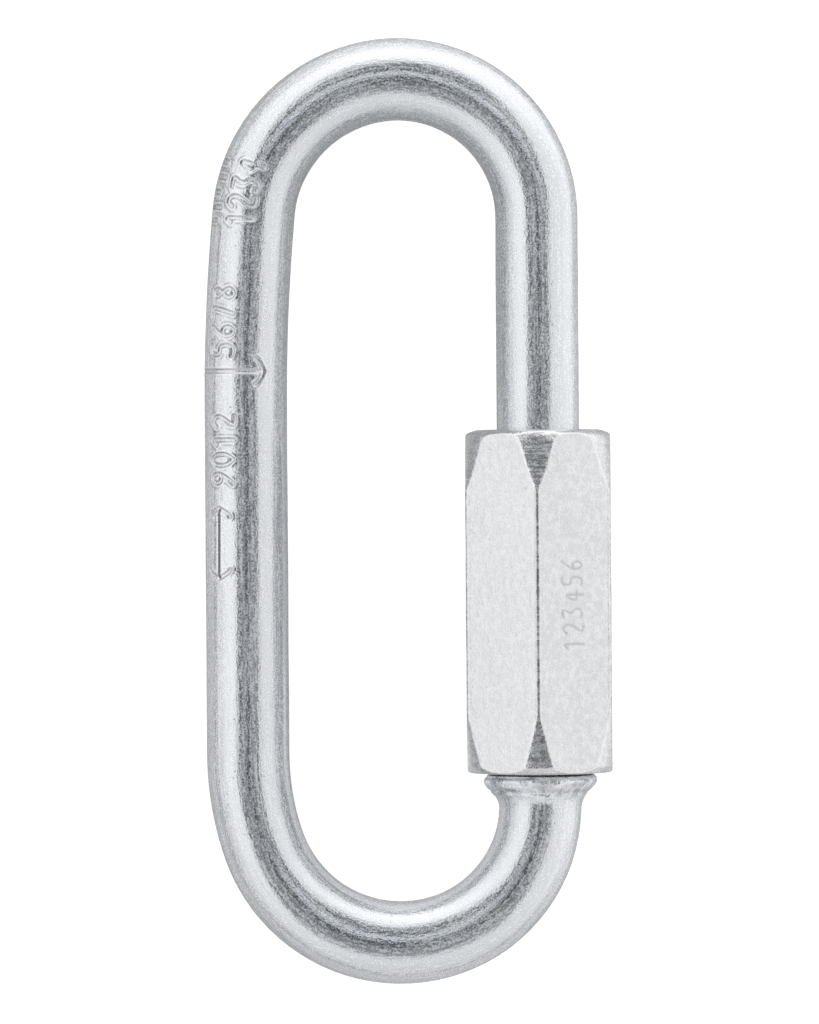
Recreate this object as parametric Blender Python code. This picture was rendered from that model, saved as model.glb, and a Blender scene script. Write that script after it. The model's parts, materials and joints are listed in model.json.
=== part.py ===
"""Chain quick link: an oval of 8 mm round bar, open on one long side, and the long hexagon sleeve nut that
screws across the opening.

Metres, +Z up. The link is modelled flat in its own plane, with its legs along Y and the nut on the +X leg,
and is then laid down as it rests on a table: on the back of its plain leg and on one edge of the nut. The
origin is on the table, under the middle of the link's box.
"""

import math

import bmesh
import bpy
from mathutils import Matrix, Vector

# Bar and bends
BAR_DIAMETER = 0.008
LEG_SPACING = 0.0283  # between the axes of the two legs
NUT_LEG_LENGTH = 0.0569  # straight stretch of the leg that carries the nut
TOP_SHOULDER_RADIUS = 0.01344  # first bend above the nut
TOP_SHOULDER_SWEEP = math.radians(97.4)
PLAIN_LEG_RADIUS = 0.2  # slight bow of the plain leg's upper end
PLAIN_LEG_SWEEP = math.radians(5.46)
FOOT_SHOULDER_RADIUS = 0.01334  # first bend under the collar
FOOT_SHOULDER_SWEEP = math.radians(73.0)
FOOT_HEEL_RADIUS = 0.027  # last, wider bend, into the plain leg
FOOT_HEEL_SWEEP = math.radians(19.2)

# Collar upset on the bar, on which the closed nut stops
COLLAR_LEVEL = 0.00275  # its upper face above the first foot bend
COLLAR_STEP = 0.0015  # how far its rim stands out from the bar
COLLAR_EDGE_HEIGHT = 0.00045
COLLAR_EDGE_WIDTH = 0.0002
COLLAR_RIM_HEIGHT = 0.00025
COLLAR_FLARE_POWER = 1.6  # how hollow the flare is that runs out into the bar at the first foot bend

# Threaded ends, as plain cylinders of the bar's size
STUD_LENGTH = 0.007  # stands above the collar
END_CHAMFER = 0.0008
END_CHAMFER_DEPTH = 0.0006

# Sleeve nut
NUT_ACROSS_FLATS = 0.014
NUT_LENGTH = 0.0332
NUT_CORNER_ROUND = 0.00025
NUT_TURN = math.radians(2.0)  # from its corner to the link's plane normal
NUT_TAPER = math.radians(9.3)
NUT_TAPER_TRIM = 0.00075  # what the taper takes off the corners where the end chamfer starts
NUT_CHAMFER_HEIGHT = 0.0006
NUT_TOP_CHAMFER_WIDTH = 0.00115
NUT_FOOT_CHAMFER_WIDTH = 0.00045
NUT_TRAVEL = 0.02  # sixteen turns of a 1.25 mm thread
BORE_CLEARANCE = 0.0002  # on the radius
BORE_CHAMFER = 0.0004
SEAT_GAP = 0.0003  # between the closed nut and the collar

# Facets
BAR_SIDES = 24
BEND_STEP = math.radians(5.0)
FLARE_STEPS = 5
TURNED_SIDES = 48
CORNER_STEPS = 4

BAR_RADIUS = BAR_DIAMETER / 2
NUT_CORNER_CENTRE = (NUT_ACROSS_FLATS / 2 - NUT_CORNER_ROUND) / math.cos(math.pi / 6)
NUT_AXIS_X = LEG_SPACING / 2
FOOT_Y = -NUT_LEG_LENGTH / 2
COLLAR_Y = FOOT_Y + COLLAR_LEVEL
NUT_FOOT_Y = COLLAR_Y + SEAT_GAP
STUD_TIP_Y = COLLAR_Y + STUD_LENGTH
TIP_Y = NUT_FOOT_Y + NUT_TRAVEL  # lower end of the leg above the gate, clear of the raised nut


def clear_scene():
    for item in list(bpy.data.objects):
        bpy.data.objects.remove(item, do_unlink=True)


def plated_steel(name, colour, roughness):
    """A Principled material for zinc plate over steel."""
    material = bpy.data.materials.new(name)
    material.use_nodes = True
    shader = material.node_tree.nodes["Principled BSDF"]
    shader.inputs["Base Color"].default_value = (*colour, 1.0)
    shader.inputs["Metallic"].default_value = 1.0
    shader.inputs["Roughness"].default_value = roughness
    return material


def add_object(name, bm, material, parent):
    mesh = bpy.data.meshes.new(name)
    bm.normal_update()
    bm.to_mesh(mesh)
    bm.free()
    mesh.materials.append(material)
    mesh.shade_smooth()
    mesh.set_sharp_from_angle(angle=math.radians(30))
    obj = bpy.data.objects.new(name, mesh)
    obj.parent = parent
    bpy.context.collection.objects.link(obj)
    return obj


def add_empty(name, location, parent=None):
    empty = bpy.data.objects.new(name, None)
    empty.location = location
    empty.parent = parent
    bpy.context.collection.objects.link(empty)
    return empty


def closing_radius(first_radius, first_sweep, last_radius, last_sweep):
    """Radius of the middle arc of a half turn, so that its three tangent arcs span LEG_SPACING."""
    first_cos = math.cos(first_sweep)
    last_cos = math.cos(math.pi - last_sweep)
    taken = first_radius * (1 - first_cos) + last_radius * (last_cos + 1)
    return (LEG_SPACING - taken) / (first_cos - last_cos)


def half_turn(first_radius, first_sweep, last_radius, last_sweep):
    """The three (radius, sweep) bends of one end of the oval, from the nut leg to the plain leg."""
    middle_radius = closing_radius(first_radius, first_sweep, last_radius, last_sweep)
    return [
        (first_radius, first_sweep),
        (middle_radius, math.pi - first_sweep - last_sweep),
        (last_radius, last_sweep),
    ]


def rise(bends):
    """How far along the leg a half turn ends from where it starts."""
    total, angle = 0.0, 0.0
    for radius, sweep in bends:
        total += radius * (math.sin(angle + sweep) - math.sin(angle))
        angle += sweep
    return total


def advance(point, heading, bend_radius, sweep):
    """Point and heading at the end of a bend to the right."""
    left = Vector((-heading.y, heading.x, 0))
    centre = point - left * bend_radius
    turn = Matrix.Rotation(-sweep, 3, "Z")
    return centre + turn @ (point - centre), turn @ heading


def bar_rings():
    """Rings (centre, heading, radius) from the stud's tip round the link to the tip above the gate."""
    foot_bends = half_turn(FOOT_SHOULDER_RADIUS, FOOT_SHOULDER_SWEEP, FOOT_HEEL_RADIUS, FOOT_HEEL_SWEEP)
    top_bends = half_turn(TOP_SHOULDER_RADIUS, TOP_SHOULDER_SWEEP, PLAIN_LEG_RADIUS, PLAIN_LEG_SWEEP)
    plain_leg_length = NUT_LEG_LENGTH + rise(top_bends) + rise(foot_bends)

    down = Vector((0, -1, 0))
    chamfered = BAR_RADIUS - END_CHAMFER_DEPTH
    rings = [
        (Vector((NUT_AXIS_X, STUD_TIP_Y, 0)), down, chamfered),
        (Vector((NUT_AXIS_X, STUD_TIP_Y - END_CHAMFER, 0)), down, BAR_RADIUS),
        (Vector((NUT_AXIS_X, COLLAR_Y, 0)), down, BAR_RADIUS),
    ]
    for depth, radius in collar_profile():
        rings.append((Vector((NUT_AXIS_X, COLLAR_Y - depth, 0)), down, radius))

    point, heading = Vector((NUT_AXIS_X, FOOT_Y, 0)), down
    for radius, sweep in foot_bends:
        point, heading = add_bend(rings, point, heading, radius, sweep)
    point = point + heading * plain_leg_length
    rings.append((point, heading, BAR_RADIUS))
    for radius, sweep in reversed(top_bends):
        point, heading = add_bend(rings, point, heading, radius, sweep)

    rings.append((Vector((NUT_AXIS_X, TIP_Y + END_CHAMFER, 0)), heading, BAR_RADIUS))
    rings.append((Vector((NUT_AXIS_X, TIP_Y, 0)), heading, chamfered))
    return rings


def add_bend(rings, point, heading, bend_radius, sweep):
    """Adds a bend's rings, its last one included, and returns where it ends."""
    steps = max(2, math.ceil(sweep / BEND_STEP))
    for _ in range(steps):
        point, heading = advance(point, heading, bend_radius, sweep / steps)
        rings.append((point, heading, BAR_RADIUS))
    return point, heading


def collar_profile():
    """(depth below the collar's face, radius): its edge, its rim and the flare that runs out into the bar."""
    rim = BAR_RADIUS + COLLAR_STEP
    rim_end = COLLAR_EDGE_HEIGHT + COLLAR_RIM_HEIGHT
    profile = [(0.0, rim - COLLAR_EDGE_WIDTH), (COLLAR_EDGE_HEIGHT, rim)]
    for step in range(FLARE_STEPS + 1):
        share = step / FLARE_STEPS
        depth = rim_end + share * (COLLAR_LEVEL - rim_end)
        profile.append((depth, BAR_RADIUS + COLLAR_STEP * (1 - share) ** COLLAR_FLARE_POWER))
    return profile


def sweep_rings(rings, sides, start_angle):
    """A closed solid through round rings, each square to its heading, with flat end caps."""
    bm = bmesh.new()
    loops = []
    for centre, heading, radius in rings:
        across = Vector((heading.y, -heading.x, 0))
        loop = []
        for side in range(sides):
            angle = start_angle + 2 * math.pi * side / sides
            offset = across * math.cos(angle) + Vector((0, 0, math.sin(angle)))
            loop.append(bm.verts.new(centre + offset * radius))
        loops.append(loop)
    for a, b in zip(loops, loops[1:]):
        for side in range(sides):
            after = (side + 1) % sides
            bm.faces.new((a[side], a[after], b[after], b[side]))
    bm.faces.new(loops[0])
    bm.faces.new(loops[-1])
    bmesh.ops.recalc_face_normals(bm, faces=bm.faces)
    return bm


def hexagon_prism():
    """The nut's bar stock: a hexagon with rounded corners, longer than the nut at both ends."""
    bm = bmesh.new()
    overrun = NUT_LENGTH / 10
    outline = []
    for corner in range(6):
        middle = math.pi / 2 + NUT_TURN + corner * math.pi / 3
        centre = Vector((math.cos(middle), 0, math.sin(middle))) * NUT_CORNER_CENTRE
        for step in range(CORNER_STEPS + 1):
            angle = middle + (step / CORNER_STEPS - 0.5) * math.pi / 3
            outline.append(centre + Vector((math.cos(angle), 0, math.sin(angle))) * NUT_CORNER_ROUND)
    base = bm.faces.new([bm.verts.new(point - Vector((0, overrun, 0))) for point in outline])
    raised = bmesh.ops.extrude_face_region(bm, geom=[base])
    moved = [item for item in raised["geom"] if isinstance(item, bmesh.types.BMVert)]
    bmesh.ops.translate(bm, vec=Vector((0, NUT_LENGTH + 2 * overrun, 0)), verts=moved)
    bmesh.ops.recalc_face_normals(bm, faces=bm.faces)
    return bm


def nut_profile():
    """(height, radius) round the nut's wall section: end chamfers and corner tapers outside, bore inside."""
    corner = NUT_CORNER_CENTRE + NUT_CORNER_ROUND
    taper_start = corner - NUT_TAPER_TRIM
    past_corner = corner + NUT_CORNER_ROUND  # clear of the hexagon, so that it leaves no sliver
    taper_length = (past_corner - taper_start) / math.tan(NUT_TAPER)
    bore = BAR_RADIUS + BORE_CLEARANCE
    return [
        (0.0, bore + BORE_CHAMFER),
        (0.0, taper_start - NUT_FOOT_CHAMFER_WIDTH),
        (NUT_CHAMFER_HEIGHT, taper_start),
        (NUT_CHAMFER_HEIGHT + taper_length, past_corner),
        (NUT_LENGTH - NUT_CHAMFER_HEIGHT - taper_length, past_corner),
        (NUT_LENGTH - NUT_CHAMFER_HEIGHT, taper_start),
        (NUT_LENGTH, taper_start - NUT_TOP_CHAMFER_WIDTH),
        (NUT_LENGTH, bore + BORE_CHAMFER),
        (NUT_LENGTH - BORE_CHAMFER, bore),
        (BORE_CHAMFER, bore),
    ]


def turned_wall(profile):
    """A ring turned from a closed wall section about the Y axis."""
    bm = bmesh.new()
    section = [bm.verts.new((radius, height, 0)) for height, radius in profile]
    edges = [bm.edges.new((section[i - 1], section[i])) for i in range(len(section))]
    bmesh.ops.spin(
        bm,
        geom=section + edges,
        axis=(0, 1, 0),
        cent=(0, 0, 0),
        steps=TURNED_SIDES,
        angle=2 * math.pi,
        use_merge=True,
    )
    bmesh.ops.recalc_face_normals(bm, faces=bm.faces)
    return bm


def add_link_body(material, parent, tilt):
    bm = sweep_rings(bar_rings(), BAR_SIDES, tilt)
    return add_object("link_body", bm, material, parent)


def add_sleeve_nut(material, parent):
    nut = add_object("sleeve_nut", turned_wall(nut_profile()), material, parent)
    stock = add_object("nut_stock", hexagon_prism(), material, parent)
    stock.hide_render = True
    stock.display_type = "WIRE"
    common = nut.modifiers.new("Hexagon", "BOOLEAN")
    common.operation = "INTERSECT"
    common.solver = "EXACT"
    common.object = stock
    return nut


def rest_tilt():
    """Angle at which the link lies, from the plain leg's back on the table to the nut's lowest edge on it."""
    tilt = 0.0
    for _ in range(30):
        nut_height = NUT_CORNER_CENTRE * math.cos(tilt + NUT_TURN) + NUT_CORNER_ROUND
        tilt = math.asin((nut_height - BAR_RADIUS) / LEG_SPACING)
    return tilt


def lay_down(pose, pieces, tilt):
    """Tilts the link to rest, then brings the middle of its box's underside to the origin."""
    pose.rotation_euler = (0, -tilt, 0)
    bpy.context.view_layer.update()
    graph = bpy.context.evaluated_depsgraph_get()
    corners = []
    for piece in pieces:
        shown = piece.evaluated_get(graph)
        corners += [shown.matrix_world @ vertex.co for vertex in shown.data.vertices]
    low = Vector([min(corner[axis] for corner in corners) for axis in range(3)])
    high = Vector([max(corner[axis] for corner in corners) for axis in range(3)])
    pose.location = -Vector(((low.x + high.x) / 2, (low.y + high.y) / 2, low.z))
    bpy.context.view_layer.update()


def main():
    clear_scene()
    bar_steel = plated_steel("bar_steel", (0.80, 0.81, 0.83), 0.30)
    nut_steel = plated_steel("nut_steel", (0.82, 0.83, 0.85), 0.42)
    tilt = rest_tilt()
    pose = add_empty("link_pose", (0, 0, 0))
    nut_axis = add_empty("nut_axis", (NUT_AXIS_X, NUT_FOOT_Y, 0), pose)
    body = add_link_body(bar_steel, pose, tilt)
    nut = add_sleeve_nut(nut_steel, nut_axis)
    lay_down(pose, [body, nut], tilt)


main()
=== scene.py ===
"""Looks of the chain quick link: a bent and stamped zinc-plated bar, and its turned hexagon sleeve nut.

Both pieces are grids worked out with numpy in the link's own plane (x across the legs, y along them, z out
of the plane towards the viewer), then laid down where the frame has the solids.
"""

import json
import math

import bpy
import numpy as np
from mathutils import Matrix, Vector


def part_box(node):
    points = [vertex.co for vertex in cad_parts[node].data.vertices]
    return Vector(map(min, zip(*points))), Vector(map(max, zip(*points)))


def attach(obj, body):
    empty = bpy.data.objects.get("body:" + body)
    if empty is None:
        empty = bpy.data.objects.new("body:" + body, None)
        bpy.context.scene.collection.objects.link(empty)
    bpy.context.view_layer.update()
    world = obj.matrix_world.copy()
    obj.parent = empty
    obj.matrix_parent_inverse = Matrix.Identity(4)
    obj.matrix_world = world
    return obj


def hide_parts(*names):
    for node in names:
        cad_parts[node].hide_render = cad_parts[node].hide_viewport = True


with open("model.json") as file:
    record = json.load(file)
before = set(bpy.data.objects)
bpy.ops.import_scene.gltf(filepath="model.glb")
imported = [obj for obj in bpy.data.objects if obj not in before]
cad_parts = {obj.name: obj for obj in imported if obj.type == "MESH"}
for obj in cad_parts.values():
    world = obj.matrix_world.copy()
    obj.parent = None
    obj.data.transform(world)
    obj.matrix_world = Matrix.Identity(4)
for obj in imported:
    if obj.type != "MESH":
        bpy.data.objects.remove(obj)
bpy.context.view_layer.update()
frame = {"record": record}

MM = 0.001
MICRON = 0.000001
DEGREE = math.pi / 180

# Bar and bends, as in the solids
BAR_RADIUS = 4.0 * MM
LEG_SPACING = 28.3 * MM
NUT_LEG_LENGTH = 56.9 * MM
FOOT_SHOULDER = (13.34 * MM, 73.0 * DEGREE)
FOOT_HEEL = (27.0 * MM, 19.2 * DEGREE)
TOP_SHOULDER = (13.44 * MM, 97.4 * DEGREE)
PLAIN_LEG_BOW = (200.0 * MM, 5.46 * DEGREE)
COLLAR_LEVEL = 2.75 * MM
COLLAR_CURVE = np.array([
    (0.0, 3.9), (-0.04, 4.4), (-0.10, 4.8), (-0.10, 5.05), (0.0, 5.2), (0.14, 5.36), (0.28, 5.48),
    (0.48, 5.54), (0.7, 5.48), (0.93, 5.31), (1.32, 4.98), (1.71, 4.64), (2.0, 4.38), (2.3, 4.2),
    (2.7, 4.06), (3.1, 4.0),
]) * MM
COLLAR_LEAN = 0.11 * MM
STUD_LENGTH = 7.0 * MM
SEAT_GAP = 0.3 * MM

# Unevenness of the bar and its collar
BAR_RIPPLE = 0.05 * MM
RIM_LUMPS = 0.16 * MM
CREASE_DEPTH = 0.13 * MM
RIM_SWELL = 0.05 * MM
NICK_HEIGHT = 0.16 * MM

# Nut: angles round it start at the middle of the marked flat
NUT_ACROSS_FLATS = 14.0 * MM
NUT_CORNER_ROUND = 0.38 * MM
NUT_TURN = 2.0 * DEGREE
NUT_FOOT_CONE = 0.15 * MM
NUT_RIPPLE = 0.03 * MM
TAPER_EDGE_ROUND = 0.03 * MM
HALF_SIDE = math.pi / 6
FRONT_CORNER = HALF_SIDE
NUT_DENTS = ((17.7, 0.07), (8.75, 0.05), (14.2, 0.03))
DENT_LENGTH = 0.22 * MM
DENT_WIDTH = 1.5 * DEGREE

# Thread: rolled on the bar, so that its crest stands proud of the bare leg
THREAD_PITCH = 1.25 * MM
THREAD_PITCH_RADIUS = 4.1 * MM
THREAD_CREST = 4.4 * MM
THREAD_ROOT = 3.75 * MM
THREAD_HEIGHT = 1.0825 * MM
THREAD_PLAY = 0.04 * MM
THREAD_RUN_OUT = 1.4 * MM
THREAD_UNDER_NUT_TOP = 0.8 * MM
TIP_FACE = THREAD_ROOT - 0.35 * MM
NUT_MINOR = 4.08 * MM
NUT_MAJOR = 4.5 * MM
NUT_MOUTH = NUT_MAJOR + 0.15 * MM

# Grid steps, with finely divided heights on the plain leg and (from, step) rows of the nut in mm
FINE_STEP = 0.1 * MM
PLAIN_STEP = 1.0 * MM
THREAD_STEP = THREAD_PITCH / 10
COLLAR_ROWS = 44
FINE_HEIGHTS = ((-8.0, 10.3), (11.5, 22.4), (26.7, 34.2))
MARK_SECTOR = (-76 * DEGREE, 34 * DEGREE)
MARK_ANGLE = 1.3 * DEGREE
PLAIN_ANGLE = 5.5 * DEGREE
NUT_END_ROWS = ((0.0, 0.05), (0.8, 0.1), (1.4, 0.15), (7.0, 0.15))
NUT_MIDDLE_ROWS = ((7.4, 0.45), (8.3, 0.12), (9.2, 0.6), (11.4, 0.105), (21.2, 0.7))
CORNER_ZONE = 2.1 * DEGREE
CORNER_ANGLE = 0.3 * DEGREE
SIDE_ANGLE = 0.97 * DEGREE
MIDDLE_ZONE = 11 * DEGREE
MARKED_MIDDLE_ANGLE = 0.786 * DEGREE
MIDDLE_ANGLE = 2.75 * DEGREE
BORE_SHARE = 4

# Marks in mm, by height up the leg and place round the bar. A row is (figures, start, baseline, height,
# advance, seed), and an arrow is (where its shaft lies, tail, tip, barb).
FIGURE_ROWS = (
    ("1234", 27.4, 0.1, 2.9, 1.62, 5),
    ("5678", 14.7, -1.15, 2.6, 1.82, 6),
    ("9012", 2.3, -1.15, 2.6, 1.85, 7),
)
TICK_COUNT = 5
TICK_HEIGHTS = (28.0, 1.2)
TICK_TAIL = -5.1
TICK_TIPS = (-4.1, -3.6)
CROSS_ARROW = (13.6, -6.0, 1.9, 1.28)
LONG_ARROW = (-2.86, -6.4, 0.45, 1.3)
SCRIBED_SHAFT = ((-6.3, -2.86), (0.3, -2.83))
NUT_FIGURES = ("123456", 11.7, 0.9, 2.3, 1.53)

# Relief of the marks, and how strong the painted shade on their walls is
MARK_FLOOR = 0.10 * MM
MARK_BRIM = 0.24 * MM
MARK_DEPTH = 0.13 * MM
MARK_WALL = 0.19 * MM
MARK_WALL_WIDTH = 0.07 * MM
SECOND_STRIKE = 0.50 * MM
SECOND_STRIKE_SHADE = 0.8
STROKE_WOBBLE = 0.04 * MM
LIP_OFFSET = 0.33 * MM
LIP_WIDTH = 0.10 * MM
LIP_HEIGHT = 0.05 * MM
SCRIBE_WIDTH = 0.11 * MM
SCRIBE_BURR = 0.28 * MM
ARROW_GROOVE_SHADE = 0.6
LEAST_GROOVE_SHADE = 0.55
NUT_FIGURE_WIDTH = 0.11 * MM
NUT_FIGURE_DEPTH = 0.03 * MM

# Plating: (darker, paler) colours of its bright and dull lobes, their roughness, and what lies over them
LEAST_DULL = 0.26
BAR_BRIGHT = ((0.82, 0.84, 0.87, 1), (0.91, 0.93, 0.96, 1))
BAR_DULL = ((0.48, 0.50, 0.53, 1), (0.96, 0.975, 1, 1))
BAR_ROUGHNESS = (0.07, 0.48)
BAR_PITS = (0.36, 0.37, 0.39, 1)
# dark of the forging scale on the collar, and painted shade on the walls of the marks
BAR_SCALE_AND_GROOVE_SHADE = (0.16, 0.165, 0.18, 1)
SCRIBED_DARK = (0.04, 0.04, 0.04, 1)
NUT_BRIGHT = ((0.77, 0.78, 0.795, 1), (0.91, 0.92, 0.935, 1))
NUT_DULL = ((0.66, 0.67, 0.69, 1), (0.93, 0.94, 0.955, 1))
NUT_ROUGHNESS = (0.18, 0.46)
NUT_PITS = (0.40, 0.41, 0.42, 1)
# dark of the nut's faint figures, and painted shade along its corners and in its ring valleys
NUT_FIGURE_AND_SHADE_DARK = (0.24, 0.245, 0.26, 1)
# pale metal painted on as highlights: on the marks' lips and burrs, in patches on the forged collar, and
# along the nut's edges
PAINTED_HIGHLIGHT_METAL = (0.97, 0.98, 1.0, 1)

# Floor. A ramp is (from, to, level at from, level at to), with places on the floor in metres.
FLOOR_REACH = 3.0
FLOOR_GREY = (0.62, 0.62, 0.62, 1)
SEAM_GREY = (0.25, 0.25, 0.25, 1)
SEEN_GLOW = 0.80
BASE_GLOW = 0.06
GLOW_OVAL = (25, 15, 0)
GLOW_AROUND = (1.0, 1.5, 0.0, 0.42)
GLOW_TOWARDS_FOOT = (-0.03, -0.08, 1.0, 0.28)
GLOW_ABOVE = (0.046, 0.064, 0.0, 0.21)
GLOW_BESIDE = (0.0, 0.008, 0.0, 0.15)
LINK_REACH = (0.018, 0.046)
POOL_WIDTH = (-0.028, -0.019, 0.010, 0.005)
POOL_CORE = 0.001
POOL_RAMPS = ((-0.038, -0.018, 0.0, 1.0), (-0.018, -0.010, 0.72, 0.30), (0.014, 0.004, 0.0, 1.0))
SEAMS = (
    ("X", (-0.033, -0.036, 0.0, 1.0), (-0.048, -0.044, 0.0, 1.0)),
    ("Y", (-0.074, -0.080, 0.0, 0.8), (-0.112, -0.104, 0.0, 1.0)),
)

# Tent, by degrees from the link's normal. A side is (axis, which half, from, to, level at from, level at to).
OPENING_SIDES = ((-30, -25), (33, 29))
OPENING_ENDS = ((-44, -34), (56, 41))
OPENING_CENTRE = (2.5, -2.0)
OPENING_HALF = (12.5, 15.5)
OPENING_TINT = (0.90, 0.95, 1.0, 1)
TENT_SIDES = (
    ("X", "LESS_THAN", 40, 85, 1.18, 0.92),
    ("X", "GREATER_THAN", 62, 92, 0.94, 1.08),
    ("Y", "GREATER_THAN", 45, 66, 1.10, 1.45),
    ("Y", "LESS_THAN", 50, 90, 0.90, 0.72),
)
TENT_SEAM = ((-75, -78), (-84, -81))
TENT_SEAM_LEVEL = 0.55
WHITE = (1, 1, 1, 1)

# Picture
MM_PER_PIXEL = 8.0 / 82.5
PHOTO_SIZE = (819, 1024)
LINK_CENTRE_PIXEL = (392.5, 511.2)
CAMERA_DISTANCE = 0.65
CAMERA_ROLL = -0.41 * DEGREE


# Where the link lies


def half_turn(first, last):
    """The (radius, sweep) bends of one end of the oval: the middle radius closes it on the leg spacing."""
    first_cos, last_cos = math.cos(first[1]), math.cos(math.pi - last[1])
    taken = first[0] * (1 - first_cos) + last[0] * (last_cos + 1)
    middle = (LEG_SPACING - taken) / (first_cos - last_cos)
    return [first, (middle, math.pi - first[1] - last[1]), last]


def rise(bends):
    """How far along the leg a half turn ends from where it starts: the sum of radius times change of sine."""
    total, angle = 0.0, 0.0
    for radius, sweep in bends:
        total += radius * (math.sin(angle + sweep) - math.sin(angle))
        angle += sweep
    return total


NUT_AXIS_X = LEG_SPACING / 2
FOOT_Y = -NUT_LEG_LENGTH / 2
COLLAR_Y = FOOT_Y + COLLAR_LEVEL
NUT_FOOT_Y = COLLAR_Y + SEAT_GAP
STUD_TIP_Y = COLLAR_Y + STUD_LENGTH
NUT_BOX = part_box("sleeve_nut")
NUT_LENGTH = NUT_BOX[1][1] - NUT_BOX[0][1]
NUT_TRAVEL = frame["record"]["behaviour"]["joints"][0]["range_m"][1]
TIP_Y = NUT_FOOT_Y + NUT_TRAVEL
FOOT_BENDS = half_turn(FOOT_SHOULDER, FOOT_HEEL)
TOP_BENDS = half_turn(TOP_SHOULDER, PLAIN_LEG_BOW)
PLAIN_LEG_LENGTH = NUT_LEG_LENGTH + rise(TOP_BENDS) + rise(FOOT_BENDS)
UPPER_LEG_LENGTH = NUT_LEG_LENGTH / 2 - TIP_Y

# (length, curvature) of each stretch of the bar, from the stud's tip round to the upper tip
STRETCHES = (
    [(STUD_LENGTH + COLLAR_LEVEL, 0.0)]
    + [(radius * sweep, -1 / radius) for radius, sweep in FOOT_BENDS]
    + [(PLAIN_LEG_LENGTH, 0.0)]
    + [(radius * sweep, -1 / radius) for radius, sweep in reversed(TOP_BENDS)]
    + [(UPPER_LEG_LENGTH, 0.0)]
)
BAR_LENGTH = sum(length for length, _ in STRETCHES)
PLAIN_LEG_START = sum(length for length, _ in STRETCHES[:4])
PLAIN_LEG_FOOT_Y = FOOT_Y - rise(FOOT_BENDS)


def resting_place():
    """The turn and shift that lay the link's plane where the frame has it, from the two spanner flats."""
    flats = {mount["name"]: mount for mount in frame["record"]["mounts"]}
    outer, inner = flats["spanner_flat_outer"], flats["spanner_flat_inner"]
    tilt = math.atan2(outer["axis"][2], outer["axis"][0]) - NUT_TURN
    turn = Matrix.Rotation(-tilt, 3, "Y")
    axis_point = (Vector(outer["pos_m"]) + Vector(inner["pos_m"])) / 2
    axis_point.y = NUT_BOX[0][1]
    shift = axis_point - turn @ Vector((NUT_AXIS_X, NUT_FOOT_Y, 0))
    return np.array(turn), np.array(shift), tilt


TURN, SHIFT, TILT = resting_place()


def to_world(points):
    """Points of the link's plane, turned and shifted to where the frame has it."""
    return points @ TURN.T + SHIFT


# Curves and unevenness


def smooth_step(low, high, value):
    """0 at low, 1 at high, and 3t^2 - 2t^3 of the share t between them."""
    share = np.clip((value - low) / (high - low), 0, 1)
    return share * share * (3 - 2 * share)


def bell(value, centre, width):
    """1 at the centre, and e to the minus square of the distance over the width."""
    return np.exp(-(((value - centre) / width) ** 2))


def smooth_minimum(a, b, blend):
    """The smaller of two radii, rounded over where they cross: the polynomial blend of width `blend`."""
    share = np.clip(0.5 + 0.5 * (b - a) / blend, 0, 1)
    return b * (1 - share) + a * share - blend * share * (1 - share)


def ripple(angle, along, waves, seed):
    """Slow unevenness from -1 to 1: a sum of seeded sines, whole numbers of them round the bar."""
    random = np.random.default_rng(seed)
    total = np.zeros(np.broadcast(angle, along).shape)
    for _ in range(waves):
        turns = random.integers(0, 5)
        length = random.uniform(3, 14) * MM
        phase, slant = random.uniform(0, 2 * math.pi, 2)
        total += np.sin(turns * angle + slant + 2 * math.pi * along / length + phase)
    return total / waves


def graded(stops):
    """Numbers from the first stop to the last: (from, step) pairs, each stretch divided evenly."""
    values = []
    for (start, step), (end, _) in zip(stops, stops[1:]):
        count = max(1, round((end - start) / step))
        values.append(np.linspace(start, end, count, endpoint=False))
    values.append([stops[-1][0]])
    return np.concatenate(values)


def thread_radius(y, angle):
    """Sharp V thread about an upright axis: a right-handed helix of THREAD_PITCH, THREAD_HEIGHT deep."""
    phase = (y - COLLAR_Y) / THREAD_PITCH - angle / (2 * math.pi)
    crest = np.abs(phase - np.floor(phase) - 0.5) * 2
    return THREAD_PITCH_RADIUS + THREAD_HEIGHT * (crest - 0.5)


# Strokes and relief of the marks

DIGIT_STROKES = {
    "0": [[(0.5, 0), (0.12, 0.25), (0.12, 0.75), (0.5, 1), (0.88, 0.75), (0.88, 0.25), (0.5, 0)]],
    "1": [[(0.2, 0.75), (0.55, 1), (0.55, 0)]],
    "2": [[(0.12, 0.78), (0.45, 1), (0.85, 0.8), (0.8, 0.52), (0.12, 0), (0.9, 0)]],
    "3": [[(0.12, 0.95), (0.85, 1), (0.42, 0.58), (0.88, 0.36), (0.7, 0.03), (0.12, 0.1)]],
    "4": [[(0.68, 0), (0.68, 1), (0.1, 0.3), (0.92, 0.3)]],
    "5": [[(0.85, 1), (0.22, 1), (0.18, 0.56), (0.7, 0.6), (0.88, 0.3), (0.62, 0), (0.12, 0.08)]],
    "6": [[(0.8, 1), (0.25, 0.6), (0.12, 0.22), (0.5, 0), (0.86, 0.25), (0.6, 0.52), (0.2, 0.42)]],
    "7": [[(0.1, 1), (0.9, 1), (0.4, 0)]],
    "8": [
        [(0.5, 0.55), (0.18, 0.78), (0.5, 1), (0.82, 0.78), (0.5, 0.55)],
        [(0.5, 0.55), (0.1, 0.26), (0.5, 0), (0.9, 0.26), (0.5, 0.55)],
    ],
    "9": [[(0.8, 0.58), (0.4, 0.48), (0.14, 0.75), (0.5, 1), (0.88, 0.78), (0.75, 0.4), (0.2, 0)]],
}
BARB_CURVE = ((0, 0), (0.22, 0.40), (0.42, 0.80), (0.68, 1.0))


def softened(points):
    """A stroke with its corners cut twice: each inner corner gives way to two points a quarter in from it."""
    points = np.array(points, dtype=float)
    for _ in range(2 if len(points) > 2 else 0):
        before, after = points[:-1], points[1:]
        cut = np.stack([0.75 * before + 0.25 * after, 0.25 * before + 0.75 * after], axis=1).reshape(-1, 2)
        points = np.vstack([points[:1], cut[1:-1], points[-1:]])
    return points.tolist()


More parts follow.
